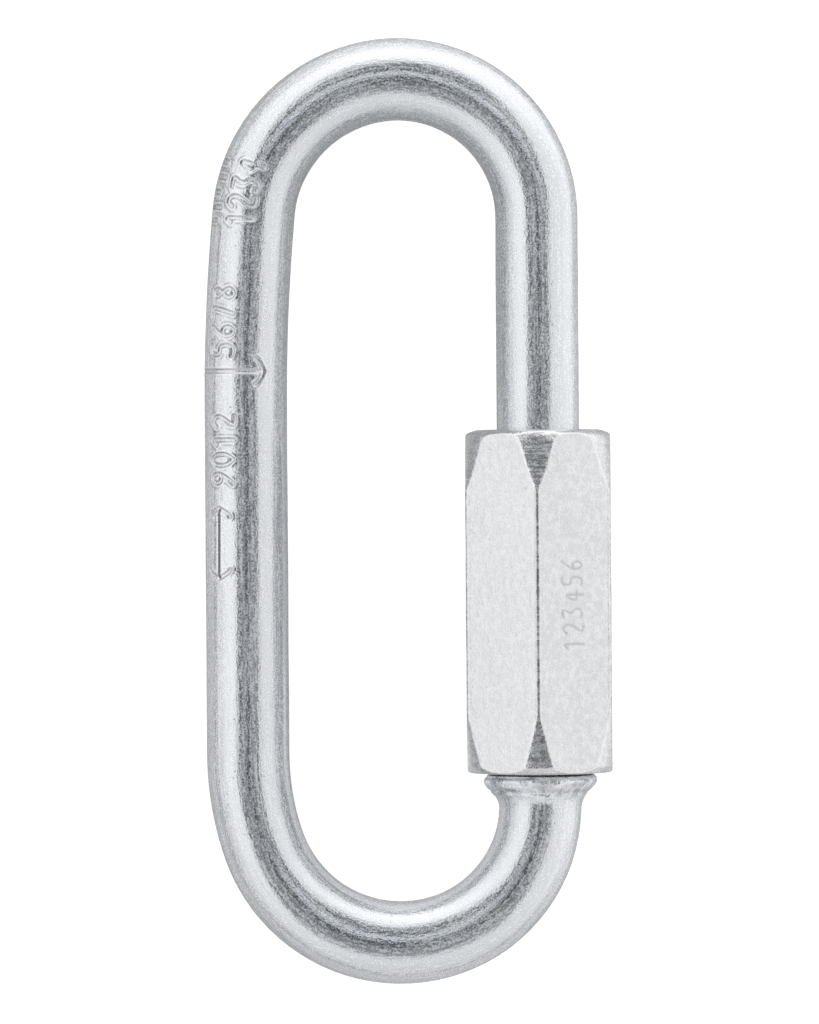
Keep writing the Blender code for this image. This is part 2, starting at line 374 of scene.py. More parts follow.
def figure_strokes(text, start, baseline, height, advance, seed=0):
    """Strokes of a row of figures that reads along the bar: (along, across) points, tops towards -across."""
    strokes = []
    random = np.random.default_rng(seed)
    for place, figure in enumerate(text):
        drop, lean = random.uniform(-0.05, 0.05, 2) * (seed > 0)
        left = start + (place + 0.12) * advance
        for stroke in DIGIT_STROKES[figure]:
            strokes.append(softened([
                (left + 0.76 * advance * (x + lean * (y - 0.5)), baseline - height * (y + drop))
                for x, y in stroke
            ]))
    return strokes


def arrow_strokes(tail, tip, barb, both_ends):
    """A straight arrow from tail to tip with curved barbs, and barbs at its tail too where both_ends."""
    strokes = [[tail, tip]]
    ends = [(tip, tail), (tail, tip)] if both_ends else [(tip, tail)]
    for point, other in ends:
        length = math.dist(point, other)
        back = [(there - here) / length for here, there in zip(point, other)]
        for side in (1, -1):
            across = (-back[1] * side, back[0] * side)
            strokes.append(softened([
                [point[k] + barb * (b * back[k] + a * across[k]) for k in (0, 1)] for b, a in BARB_CURVE
            ]))
    return strokes


def stroke_distance(along, across, strokes):
    """Distance of each grid point to the nearest stroke, in the plane of the unrolled surface."""
    nearest = np.full(np.broadcast(along, across).shape, 1.0)
    for stroke in strokes:
        for (x0, y0), (x1, y1) in zip(stroke, stroke[1:]):
            dx, dy = x1 - x0, y1 - y0
            share = np.clip(((along - x0) * dx + (across - y0) * dy) / (dx * dx + dy * dy), 0, 1)
            nearest = np.minimum(nearest, np.hypot(along - x0 - share * dx, across - y0 - share * dy))
    return nearest


def leg_length_at(y):
    """Length along the bar at a height on the straight plain leg."""
    return PLAIN_LEG_START + y - PLAIN_LEG_FOOT_Y


def bar_figures():
    """The figures pressed into the plain leg: three rows of plain digits, and a row of ticks."""
    strokes = []
    for text, start, *sizes, seed in FIGURE_ROWS:
        strokes += figure_strokes(text, leg_length_at(start * MM), *(size * MM for size in sizes), seed)
    first, advance = TICK_HEIGHTS
    for tick in range(TICK_COUNT):
        at = leg_length_at((first + advance * tick) * MM)
        strokes.append([(at, TICK_TAIL * MM), (at, TICK_TIPS[tick % 2] * MM)])
    return strokes


def bar_arrows():
    """The arrow across the plain leg, and the barbs of the arrow along it, whose shaft is scribed."""
    height, tail, tip, barb = (value * MM for value in CROSS_ARROW)
    at = leg_length_at(height)
    across = arrow_strokes((at, tail), (at, tip), barb, False)
    place, tail, tip, barb = (value * MM for value in LONG_ARROW)
    along = arrow_strokes((leg_length_at(tail), place), (leg_length_at(tip), place), barb, True)
    return across + along[1:]


def pressed_marks(length, angle):
    """Relief of the bar's marks, and masks of painted shade and highlight, by distance from their strokes.

    A stroke is a flat-bottomed groove whose walls get painted shade, with a low lip outside that gets a
    painted highlight. Painted shade of a second strike shows in patches round the figures. A thin scribed
    line with two burrs is the long arrow's shaft, and its burrs get painted highlight too.
    """
    across = angle * BAR_RADIUS
    wobble = STROKE_WOBBLE * ripple(angle * 6, length * 8, 20, 31)
    from_figures = stroke_distance(length, across, bar_figures()) + wobble
    from_arrows = stroke_distance(length, across, bar_arrows()) + wobble
    distance = np.minimum(from_figures, from_arrows)
    shaft = [(leg_length_at(height * MM), place * MM) for height, place in SCRIBED_SHAFT]
    from_scribe = stroke_distance(length, across, [shaft])
    scribed = bell(from_scribe, 0.0, SCRIBE_WIDTH)
    burr = bell(from_scribe, SCRIBE_BURR, SCRIBE_WIDTH)
    lip = bell(distance, LIP_OFFSET, LIP_WIDTH)
    groove = MARK_DEPTH * (smooth_step(MARK_BRIM, MARK_FLOOR, distance) + scribed)
    relief = LIP_HEIGHT * (lip + 0.5 * burr) - groove

    # painted shade: the groove walls, and a second ring round the figures, are darkened in the colour, more
    # in some patches than others
    patches = smooth_step(-0.2, 0.2, ripple(angle * 5, length * 6, 20, 52))
    uneven = LEAST_GROOVE_SHADE + (1 - LEAST_GROOVE_SHADE) * patches
    shade_strength = np.where(from_arrows < from_figures, ARROW_GROOVE_SHADE, uneven)
    stamped = bell(distance, MARK_WALL, MARK_WALL_WIDTH) * shade_strength
    patches = smooth_step(-0.12, 0.12, ripple(angle * 4, length * 5, 20, 44))
    second = bell(from_figures, SECOND_STRIKE, MARK_WALL_WIDTH) * patches * SECOND_STRIKE_SHADE
    return relief, {"stamped": np.maximum(stamped, second), "lip": np.maximum(lip, burr), "scribed": scribed}


# Grids and meshes


def grid_faces(index):
    """Quads of a grid of vertex numbers that closes round its columns."""
    near, far = index[:-1], index[1:]
    return np.stack([near, far, np.roll(far, -1, axis=1), np.roll(near, -1, axis=1)], axis=-1).reshape(-1, 4)


def stitch_faces(near, far):
    """Triangles between two closed rings of vertex numbers, one BORE_SHARE times as long as the other."""
    wide_first = len(near) > len(far)
    fine, coarse = (near, far) if wide_first else (far, near)
    fine_next = np.roll(fine, -1).reshape(-1, BORE_SHARE)
    fine = fine.reshape(-1, BORE_SHARE)
    coarse_next = np.roll(coarse, -1)
    pivot = np.repeat(coarse[:, None], BORE_SHARE, axis=1)
    last = fine_next[:, -1]
    fans = [fine, pivot, fine_next] if wide_first else [pivot, fine, fine_next]
    closing = [last, coarse, coarse_next] if wide_first else [coarse, last, coarse_next]
    return np.vstack([np.stack(fans, axis=-1).reshape(-1, 3), np.stack(closing, axis=-1)])


def surface_piece(name, vertices, faces, masks, material):
    """An object of the given vertices and face arrays, smooth, with one attribute for each mask."""
    mesh = bpy.data.meshes.new(name)
    mesh.from_pydata(vertices.tolist(), [], [face for block in faces for face in block.tolist()])
    mesh.shade_smooth()
    for mask, values in masks.items():
        kind, part = ("FLOAT_VECTOR", "vector") if values.ndim == 2 else ("FLOAT", "value")
        layer = mesh.attributes.new(mask, kind, "POINT")
        layer.data.foreach_set(part, values.astype(np.float32).ravel())
    mesh.materials.append(material)
    piece = bpy.data.objects.new(name, mesh)
    bpy.context.collection.objects.link(piece)
    return piece


# The bar


def bar_centre(length):
    """Centre point and heading at a length along the bar: tangent arcs, each followed as far as it goes."""
    x, y = np.full_like(length, NUT_AXIS_X), np.full_like(length, STUD_TIP_Y)
    heading = np.full_like(length, -math.pi / 2)
    start, start_heading = 0.0, -math.pi / 2
    for stretch, curvature in STRETCHES:
        gone = np.clip(length - start, 0, stretch)
        turned = start_heading + curvature * gone
        if curvature:
            x += (np.sin(turned) - math.sin(start_heading)) / curvature
            y -= (np.cos(turned) - math.cos(start_heading)) / curvature
        else:
            x += gone * math.cos(start_heading)
            y += gone * math.sin(start_heading)
        heading += curvature * gone
        start += stretch
        start_heading += curvature * stretch
    return x, y, heading


def bar_rows():
    """Length of each row of the bar, its radius where that is fixed, and where the upper thread starts."""
    stud = graded([(0.0, THREAD_STEP), (STUD_LENGTH - 0.02 * MM, THREAD_STEP)])
    steps = np.linspace(0, len(COLLAR_CURVE) - 1, COLLAR_ROWS)
    collar = np.stack([np.interp(steps, np.arange(len(COLLAR_CURVE)), COLLAR_CURVE[:, k]) for k in (0, 1)])
    stops = [(STUD_LENGTH + COLLAR_CURVE[-1, 0] + 0.2 * MM, PLAIN_STEP)]
    for low, high in FINE_HEIGHTS:
        stops += [(leg_length_at(low * MM), FINE_STEP), (leg_length_at(high * MM), PLAIN_STEP)]
    thread_start = BAR_LENGTH - (NUT_FOOT_Y + NUT_LENGTH - TIP_Y) + THREAD_UNDER_NUT_TOP
    rest = graded(stops + [(thread_start, THREAD_STEP), (BAR_LENGTH, THREAD_STEP)])
    face = np.array([0.25, 0.6, 0.9, 1.0]) * TIP_FACE
    free_stud, free_rest = np.full(len(stud), np.nan), np.full(len(rest), np.nan)
    lengths = np.concatenate([np.zeros(4), stud, STUD_LENGTH + collar[0], rest, np.full(4, BAR_LENGTH)])
    radii = np.concatenate([face, free_stud, collar[1], free_rest, face[::-1]])
    return lengths, radii, thread_start


def collar_roughness(angle, below):
    """What forging left on the collar: a lumpy rim, a wavering crease under it, and a nick to the front."""
    lumps = ripple(angle * 2, below * 5, 16, 8) + 0.7 * ripple(angle * 5, below * 9, 16, 15)
    rim = smooth_step(0.0, 0.25 * MM, below) * smooth_step(2.4 * MM, 1.3 * MM, below)
    crease_at = (1.52 - 0.12 * np.sin(angle) + 0.05 * np.sin(3 * angle + 1)) * MM
    crease = bell(below, crease_at, 0.13 * MM)
    swell = -np.sin(angle) * bell(below, 0.85 * MM, 0.35 * MM)
    nick = bell(angle, -0.14, 0.12) * bell(below, 2.05 * MM, 0.18 * MM)
    return RIM_LUMPS * lumps * rim - CREASE_DEPTH * crease + RIM_SWELL * swell + NICK_HEIGHT * nick


def bar_profile(lengths, radii, thread_start, y, angle):
    """Radius without the marks: thread or bare bar, end chamfers, the fixed rows, ripple and roughness."""
    length = lengths[:, None]
    thread = np.clip(thread_radius(y[:, None], -angle), THREAD_ROOT, THREAD_CREST)
    on_stud = smooth_step(STUD_LENGTH - 0.5 * MM, STUD_LENGTH - THREAD_RUN_OUT, length)
    on_tip = smooth_step(thread_start, thread_start + THREAD_RUN_OUT, length)
    neck = THREAD_ROOT + 0.15 * MM * smooth_step(STUD_LENGTH - 0.3 * MM, STUD_LENGTH, length)
    stud = neck + (thread - neck) * on_stud
    surface = np.where(length < STUD_LENGTH, stud, BAR_RADIUS + (thread - BAR_RADIUS) * on_tip)
    surface = np.minimum(surface, TIP_FACE + np.minimum(length, BAR_LENGTH - length))
    fixed = np.isfinite(radii)
    surface[fixed] = radii[fixed, None]

    bare = smooth_step(STUD_LENGTH, STUD_LENGTH + 0.5 * MM, length)
    bare = bare * smooth_step(thread_start, thread_start - 2 * MM, length)
    surface = surface + BAR_RIPPLE * ripple(angle, length * 0.6, 14, 3) * bare * (0.6 + 0.4 * np.cos(angle))
    below = length - STUD_LENGTH
    return surface + collar_roughness(angle, below) * smooth_step(0.0, 0.1 * MM, below) * (below < 4 * MM)


def build_link_body():
    """The bar: rows round the bent centreline, at a radius that carries collar, threads, marks and ripple."""
    lengths, radii, thread_start = bar_rows()
    first, last = MARK_SECTOR
    angles = graded([
        (-math.pi, PLAIN_ANGLE), (first, MARK_ANGLE), (last, PLAIN_ANGLE), (math.pi, PLAIN_ANGLE),
    ])[:-1]
    length, angle = lengths[:, None], angles[None, :]
    x, y, heading = bar_centre(lengths)
    relief, masks = pressed_marks(length, angle)
    surface = bar_profile(lengths, radii, thread_start, y, angle) + relief

    # the collar leans: its rim is pushed along the bar on one side
    below = length - STUD_LENGTH
    lean = COLLAR_LEAN * np.sin(angle) * (below >= 0) * smooth_step(2.6 * MM, 0.8 * MM, below)
    lean = lean * smooth_step(4.2 * MM, 5.0 * MM, surface)
    level = np.zeros_like(heading)
    across = np.stack([np.sin(heading), -np.cos(heading), level], axis=-1)
    along = np.stack([np.cos(heading), np.sin(heading), level], axis=-1)
    centre = np.stack([x, y, level], axis=-1)
    out = across[:, None, :] * np.sin(angle)[..., None] + np.array([0, 0, 1]) * np.cos(angle)[..., None]
    points = centre[:, None, :] + out * surface[..., None] + along[:, None, :] * lean[..., None]

    # place is where the texture is read: the bar unbent, and its end faces drawn in to one point
    near_end = np.minimum(length, BAR_LENGTH - length) < 1 * MM
    reach = np.where(near_end, np.minimum(surface, BAR_RADIUS), BAR_RADIUS)
    place = np.stack(np.broadcast_arrays(reach * np.cos(angle), reach * np.sin(angle), length), axis=-1)
    masks["forged"] = np.broadcast_to((below > 0) * smooth_step(3.0 * MM, 1.4 * MM, below), surface.shape)
    masks = {name: np.append(values.ravel(), values[[0, -1], 0]) for name, values in masks.items()}
    masks["place"] = np.vstack([place.reshape(-1, 3), place[[0, -1], 0] * np.array([0, 0, 1])])
    vertices = np.vstack([to_world(points).reshape(-1, 3), to_world(centre[[0, -1]])])
    count = surface.size
    index = np.arange(count).reshape(surface.shape)
    faces = [
        grid_faces(index),
        np.stack([np.full(len(angles), count), index[0], np.roll(index[0], -1)], axis=-1),
        np.stack([np.full(len(angles), count + 1), np.roll(index[-1], -1), index[-1]], axis=-1),
    ]
    return surface_piece("plated_bar", vertices, faces, masks, bar_steel())


# The nut


def from_flat(column):
    """Angle to the middle of the nearest flat."""
    return np.abs((column + HALF_SIDE) % (2 * HALF_SIDE) - HALF_SIDE)


def hexagon_radius(column):
    """Radius of the hexagon at an angle from a flat's middle: the flat, or the small round of its corner."""
    corner_centre = (NUT_ACROSS_FLATS / 2 - NUT_CORNER_ROUND) / math.cos(HALF_SIDE)
    folded = from_flat(column)
    flat = NUT_ACROSS_FLATS / 2 / np.cos(folded)
    from_corner = HALF_SIDE - folded
    inside = np.maximum(NUT_CORNER_ROUND**2 - (corner_centre * np.sin(from_corner)) ** 2, 0)
    rounded = corner_centre * np.cos(from_corner) + np.sqrt(inside)
    return np.where(inside > 0, np.minimum(flat, rounded), flat)


def top_profile(depth):
    """Turned radius at a depth d under the top: a hollow taper in d and d^2, less a fading round-over."""
    d = np.maximum(depth / MM, 0)
    return (7.24 + 0.055 * d + 0.0130 * d**2 - 1.29 * np.exp(-((d / 0.28) ** 1.1))) * MM


def top_brim(depth, column):
    """What the off-centre cutter left near the front corner: a bell round the nut, and d e^-d down it."""
    d = np.maximum(depth / MM, 0)
    return 4.0 * d * np.exp(1 - d / 0.11) * bell(column, FRONT_CORNER, 20 * DEGREE) * MM


def foot_profile(height):
    """Turned radius at a height above the foot: a short chamfer, a crisp knee and a straight taper."""
    heights = [0, 0.06, 0.14, 0.58, 0.66, 5.6, 7.0]
    radii = [6.72, 6.92, 7.03, 7.37, 7.40, 7.997, 8.166]
    return np.interp(height / MM, heights, radii) * MM


def nut_rows():
    """(height, turned radius) of the outside's rows, foot mouth to top mouth, and the bore's heights."""
    face = np.linspace(0, 1, 5)[:-1]
    cone = NUT_FOOT_CONE * (1 - face) * smooth_step(1.02, 0.5, face)
    ends = graded([(start * MM, step * MM) for start, step in NUT_END_ROWS])
    middle = [(start * MM, step * MM) for start, step in NUT_MIDDLE_ROWS]
    middle = graded(middle + [(NUT_LENGTH - middle[0][0], PLAIN_STEP)])
    outside = np.vstack([
        np.stack([-cone, NUT_MOUTH + face * (foot_profile(0) - NUT_MOUTH)], axis=-1),
        np.stack([ends, foot_profile(ends)], axis=-1),
        np.stack([middle, np.full(len(middle), 1.0)], axis=-1),
        np.stack([NUT_LENGTH - ends, top_profile(ends)], axis=-1)[::-1],
        np.stack([np.full(4, NUT_LENGTH), NUT_MOUTH + face * (top_profile(0) - NUT_MOUTH)], axis=-1)[::-1],
    ])
    bore = graded([(NUT_LENGTH - 0.05 * MM, THREAD_STEP), (0.05 * MM, THREAD_STEP)])
    return outside, bore


def nut_columns():
    """Angles round the nut from the marked flat's middle, close together on that flat and at the corners."""
    stops = []
    for side in range(6):
        middle = side * math.pi / 3
        stops += [
            (middle - HALF_SIDE, CORNER_ANGLE),
            (middle - HALF_SIDE + CORNER_ZONE, SIDE_ANGLE),
            (middle - MIDDLE_ZONE, MARKED_MIDDLE_ANGLE if side == 0 else MIDDLE_ANGLE),
            (middle + MIDDLE_ZONE, SIDE_ANGLE),
            (middle + HALF_SIDE - CORNER_ZONE, CORNER_ANGLE),
        ]
    stops.append((2 * math.pi - HALF_SIDE, CORNER_ANGLE))
    return graded(stops)[:-1]


def nut_points(radius, angle, height):
    """Points about the nut's axis, by angle from the link's normal towards +x and height above its foot."""
    x, y, z = NUT_AXIS_X + radius * np.sin(angle), NUT_FOOT_Y + height, radius * np.cos(angle)
    return np.stack(np.broadcast_arrays(x, y, z), axis=-1).reshape(-1, 3)


def build_sleeve_nut():
    """The sleeve nut: the smaller of hexagon and turned profile outside, and a threaded bore inside."""
    outside, bore_height = nut_rows()
    column, bore_height = nut_columns()[None, :], bore_height[:, None]
    height, profile = outside[:, :1], outside[:, 1:]
    hexagon = hexagon_radius(column)
    profile = profile + top_brim(NUT_LENGTH - height, column)
    surface = smooth_minimum(hexagon, profile, TAPER_EDGE_ROUND)

    angle = math.pi / 2 - (column + NUT_TURN + math.pi / 3)
    text, *sizes = NUT_FIGURES
    strokes = figure_strokes(text, *(size * MM for size in sizes))
    distance = stroke_distance(height, -np.tan(column) * NUT_ACROSS_FLATS / 2, strokes)
    faint = np.where(np.abs(column) < HALF_SIDE, bell(distance, 0.0, NUT_FIGURE_WIDTH), 0)
    for at, depth in NUT_DENTS:
        dent = bell(height, at * MM, DENT_LENGTH) * bell(column, FRONT_CORNER, DENT_WIDTH)
        surface = surface - depth * MM * dent
    surface = surface - NUT_FIGURE_DEPTH * faint + NUT_RIPPLE * ripple(angle, height, 12, 21)

    bore_angle = angle[:, ::BORE_SHARE]
    bore = np.clip(thread_radius(NUT_FOOT_Y + bore_height, bore_angle) + THREAD_PLAY, NUT_MINOR, NUT_MAJOR)
    bore = np.maximum(bore, NUT_MOUTH - np.minimum(bore_height, NUT_LENGTH - bore_height))
    points = np.vstack([nut_points(surface, angle, height), nut_points(bore, bore_angle, bore_height)])
    index = np.arange(surface.size).reshape(surface.shape)
    bore_index = surface.size + np.arange(bore.size).reshape(bore.shape)
    faces = [
        grid_faces(index), grid_faces(bore_index),
        stitch_faces(index[-1], bore_index[0]), stitch_faces(bore_index[-1], index[0]),
    ]

    turned = smooth_step(0.0, 0.05 * MM, hexagon - profile)
    rim = bell(height, NUT_LENGTH, 0.45 * MM)
    # edge: where painted highlight goes, along the edges of the flats and round the top rim
    edge = np.maximum(bell(hexagon, profile, 0.05 * MM), turned * rim)
    # front: the side towards the camera, where the corner line's painted shade and the turning rings with
    # their painted valley shade are strongest
    front = np.where(np.abs(column - FRONT_CORNER) < HALF_SIDE, 1.0, 0.3)
    corner = bell(from_flat(column), HALF_SIDE, 1.0 * DEGREE) * (1 - turned) * front
    rings = turned * front * (1 - rim) * smooth_step(-0.6, 0.6, height / NUT_LENGTH)
    masks = {"turned": turned, "rings": rings, "edge": edge, "corner": corner, "faint": faint}
    masks = {name: np.append(values.ravel(), np.zeros(bore.size)) for name, values in masks.items()}
    masks["place"] = points[:, [2, 0, 1]] - np.array([0.0, NUT_AXIS_X, NUT_FOOT_Y])
    return surface_piece("plated_nut", to_world(points), faces, masks, nut_steel())


# Shader helpers


def new_node(tree, kind, inputs=None, **settings):
    """A node with its settings made and its inputs set to values or linked to sockets."""
    node = tree.nodes.new(kind)
    for name, value in settings.items():
        setattr(node, name, value)
    for key, value in (inputs or {}).items():
        if isinstance(value, bpy.types.NodeSocket):
            tree.links.new(value, node.inputs[key])
        else:
            node.inputs[key].default_value = value
    return node


def maths(tree, operation, *values):
    return new_node(tree, "ShaderNodeMath", dict(enumerate(values)), operation=operation).outputs[0]


def gathered(tree, operation, parts):
    """One value from many: the operation taken from left to right."""
    total, *others = parts
    for part in others:
        total = maths(tree, operation, total, part)
    return total


def product(tree, *factors):
    return gathered(tree, "MULTIPLY", factors)


def weighted(tree, *terms):
    """The sum of (socket, factor) terms."""
    return gathered(tree, "ADD", [maths(tree, "MULTIPLY", socket, factor) for socket, factor in terms])


def remap(tree, value, low, high, new_low, new_high, smooth=False):
    """One range carried to another and held at its ends, in a straight line or smoothly."""
    kind = "SMOOTHSTEP" if smooth else "LINEAR"
    inputs = {"Value": value, "From Min": low, "From Max": high, "To Min": new_low, "To Max": new_high}
    return new_node(tree, "ShaderNodeMapRange", inputs, interpolation_type=kind).outputs["Result"]


def blend(tree, share, a, b):
    """a where share is 0 and b where it is 1."""
    return remap(tree, share, 0.0, 1.0, a, b)


def angle_step(tree, angle, low, high):
    """Rises smoothly from 0 at one angle in degrees to 1 at the other."""
    return remap(tree, angle, low * DEGREE, high * DEGREE, 0.0, 1.0, True)


def noise(tree, vector, scale, detail, roughness=0.5):
    inputs = {"Vector": vector, "Scale": scale, "Detail": detail, "Roughness": roughness}
    return new_node(tree, "ShaderNodeTexNoise", inputs).outputs["Fac"]


def spread(tree, field, margin=0.3):
    """The middle of a noise stretched to run from 0 to 1."""
    return remap(tree, field, margin, 1 - margin, 0.0, 1.0)


def stretched(tree, vector, scale, turn=(0, 0, 0)):
    inputs = {"Vector": vector, "Rotation": turn, "Scale": scale}
    return new_node(tree, "ShaderNodeMapping", inputs).outputs["Vector"]


def attribute(tree, name, output="Fac"):
    return new_node(tree, "ShaderNodeAttribute", attribute_name=name).outputs[output]


def mix_colour(tree, share, a, b):
    return new_node(tree, "ShaderNodeMix", {0: share, 6: a, 7: b}, data_type="RGBA").outputs[2]


def layered(tree, colours, *layers):
    """Each colour under the same (share, colour) layers, laid on in turn."""
    for share, layer in layers:
        colours = [mix_colour(tree, share, colour, layer) for colour in colours]
    return colours


# Shader groups


def new_group(name, inputs, outputs):
    """A shader node group with named inputs (name, default) and outputs, and its two end nodes."""
    group = bpy.data.node_groups.new(name, "ShaderNodeTree")
    for socket, default in inputs:
        kind = "NodeSocketVector" if default is None else "NodeSocketFloat"
        item = group.interface.new_socket(name=socket, in_out="INPUT", socket_type=kind)
        if default is not None:
            item.default_value = default
    for socket in outputs:
        group.interface.new_socket(name=socket, in_out="OUTPUT", socket_type="NodeSocketFloat")
    return group, group.nodes.new("NodeGroupInput").outputs, group.nodes.new("NodeGroupOutput").inputs


def use_group(tree, group, inputs):
    return new_node(tree, "ShaderNodeGroup", inputs, node_tree=group).outputs


def zinc_grain_group():
    """Zinc crystals: a fine peaked grain, a coarser cloud over it, slow blotches and sparse pits."""
    scales = (("Grain", 7000.0, 1.0), ("Cloud", 1500.0, 2.0), ("Blotch", 250.0, 2.0))
    group, given, put = new_group(
        "zinc grain",
        [("Place", None)] + [(f"{name} Scale", scale) for name, scale, _ in scales],
        ["Grain", "Cloud", "Blotch", "Pits"],
    )
    for name, _, detail in scales:
        field = noise(group, given["Place"], given[f"{name} Scale"], detail, 0.6)
        group.links.new(spread(group, field), put[name])
    cells = new_node(group, "ShaderNodeTexVoronoi", {"Vector": given["Place"], "Scale": given["Cloud Scale"]})
    near = remap(group, cells.outputs["Distance"], 0.08, 0.28, 1.0, 0.0, True)
    pick = new_node(group, "ShaderNodeSeparateColor", {"Color": cells.outputs["Color"]}).outputs[0]
    chosen = remap(group, pick, 0.86, 1.0, 0.0, 1.0)
    group.links.new(product(group, near, chosen), put["Pits"])
    return group


def drawn_streak_group():
    """Drawing lines: three noises stretched along the third coordinate of the place, from long to short."""
    kinds = (("Fine", 0.03, 0.75), ("Broad", 0.06, 0.22), ("Dashes", 0.24, 1.1))
    outputs = [name for name, _, _ in kinds]
    group, given, put = new_group("drawn streaks", [("Place", None), ("Scale", 5000.0)], outputs)
    for name, stretch, share in kinds:
        along = stretched(group, given["Place"], (1.0, 1.0, stretch))
        field = noise(group, along, product(group, given["Scale"], share), 2.0)
        group.links.new(spread(group, field), put[name])
    return group


def tool_ring_group():
    """Turning marks: noise squeezed along the third coordinate, so that it runs in rings round the axis."""
    group, given, put = new_group("turning rings", [("Place", None), ("Scale", 4800.0)], ["Rings"])
    along = stretched(group, given["Place"], (0.12, 0.12, 1.0))
    rings = noise(group, along, given["Scale"], 3.0, 0.7)
    group.links.new(spread(group, rings, 0.34), put["Rings"])
    return group


def handling_group():
    """Handling marks: patches of thin slanting scratches, where three stretched noises pass their middle."""
    group, given, put = new_group("handling marks", [("Place", None), ("Scale", 900.0)], ["Scratches"])
    lines = []
    for turn, stretch in ((0.5, 0.10), (-0.9, 0.14), (1.3, 0.08)):
        turned = stretched(group, given["Place"], (1.0, 1.0, stretch), (turn, turn * 0.7, turn * 1.9))
        field = noise(group, turned, given["Scale"], 0.0)
        off = maths(group, "ABSOLUTE", maths(group, "SUBTRACT", field, 0.5))
        patches = noise(group, given["Place"], 350.0 + 90.0 * turn, 1.0)
        patch = remap(group, patches, 0.56, 0.66, 0.0, 1.0, True)
        lines.append(product(group, remap(group, off, 0.0, 0.006, 1.0, 0.0), patch))
    group.links.new(gathered(group, "MAXIMUM", lines), put["Scratches"])
    return group


ZINC_GRAIN = zinc_grain_group()
DRAWN_STREAKS = drawn_streak_group()
TOOL_RINGS = tool_ring_group()
HANDLING = handling_group()


# Materials


def plated_material(name):
    """A metal of two lobes: bright plating, and dull crystals scattered through it."""
    material = bpy.data.materials.new(name)
    material.use_nodes = True
    tree = material.node_tree
    bright = tree.nodes["Principled BSDF"]
    dull = tree.nodes.new("ShaderNodeBsdfPrincipled")
    for shader in (bright, dull):
        shader.inputs["Metallic"].default_value = 1.0
    both = new_node(tree, "ShaderNodeMixShader", {1: bright.outputs[0], 2: dull.outputs[0]})
    tree.links.new(both.outputs[0], tree.nodes["Material Output"].inputs["Surface"])
    return material, tree, (bright, dull, both)


def finish_shader(tree, shaders, share, colours, roughness, levels, height):
    """Links the share of dull crystals, both lobes' colours and roughness, and the height in metres."""
    *lobes, both = shaders
    bump = new_node(tree, "ShaderNodeBump", {"Strength": 1.0, "Distance": 1.0, "Height": height})
    tree.links.new(share, both.inputs[0])
    for shader, colour, level in zip(lobes, colours, levels):
        tree.links.new(colour, shader.inputs["Base Color"])
        tree.links.new(maths(tree, "ADD", roughness, level), shader.inputs["Roughness"])
        tree.links.new(bump.outputs["Normal"], shader.inputs["Normal"])


def bar_steel():
    """Zinc on drawn bar: bluish, speckled and streaked, rough at the collar, with painted shade in its marks
    and painted highlights on their lips and in patches on the collar.
    """
    material, tree, shaders = plated_material("bar_steel")
    place = attribute(tree, "place", "Vector")
    grain = use_group(tree, ZINC_GRAIN, {
        "Place": place, "Grain Scale": 6200.0, "Cloud Scale": 2400.0, "Blotch Scale": 900.0,
    })
    streak = use_group(tree, DRAWN_STREAKS, {"Place": place, "Scale": 5200.0})
    scratches = use_group(tree, HANDLING, {"Place": place, "Scale": 900.0})["Scratches"]
    stamped, lip, forged, scribed = (
        attribute(tree, name) for name in ("stamped", "lip", "forged", "scribed")
    )
    crystals = weighted(
        tree, (grain["Grain"], 0.38), (streak["Dashes"], 0.28), (streak["Fine"], 0.28), (grain["Cloud"], 0.06)
    )
    share = remap(tree, crystals, 0.38, 0.62, LEAST_DULL, 0.78)
    tone = weighted(tree, (grain["Cloud"], 0.25), (streak["Broad"], 0.35), (grain["Grain"], 0.4))
    bright = mix_colour(tree, tone, *BAR_BRIGHT)
    dull = mix_colour(tree, remap(tree, crystals, 0.36, 0.64, 0.0, 1.0), *BAR_DULL)
    scale = product(tree, forged, grain["Blotch"])
    # painted shade on the walls of the marks, and the dark of the forging scale on the collar
    dark = maths(tree, "MAXIMUM", product(tree, stamped, 0.75), remap(tree, scale, 0.5, 1.0, 0.0, 0.5))
    # painted highlights: pale patches on the forged collar, and the lips and burrs of the marks
    bare = product(tree, forged, remap(tree, grain["Blotch"], 0.5, 0.2, 0.0, 0.8))
    painted_highlight = product(tree, maths(tree, "MAXIMUM", lip, bare), 0.8)
    colours = layered(
        tree, (bright, dull), (product(tree, grain["Pits"], 0.6), BAR_PITS),
        (painted_highlight, PAINTED_HIGHLIGHT_METAL), (dark, BAR_SCALE_AND_GROOVE_SHADE), (scribed, SCRIBED_DARK),
    )
    roughness = weighted(tree, (grain["Cloud"], 0.04), (streak["Fine"], 0.04), (stamped, 0.03))
    height = weighted(
        tree, (grain["Grain"], 6 * MICRON), (grain["Cloud"], 6 * MICRON), (streak["Dashes"], 5 * MICRON),
        (streak["Broad"], 5 * MICRON), (grain["Pits"], -15 * MICRON), (scratches, -4 * MICRON),
        (scale, 80 * MICRON), (product(tree, forged, grain["Cloud"]), 30 * MICRON),
    )
    finish_shader(tree, shaders, share, colours, roughness, BAR_ROUGHNESS, height)
    return material


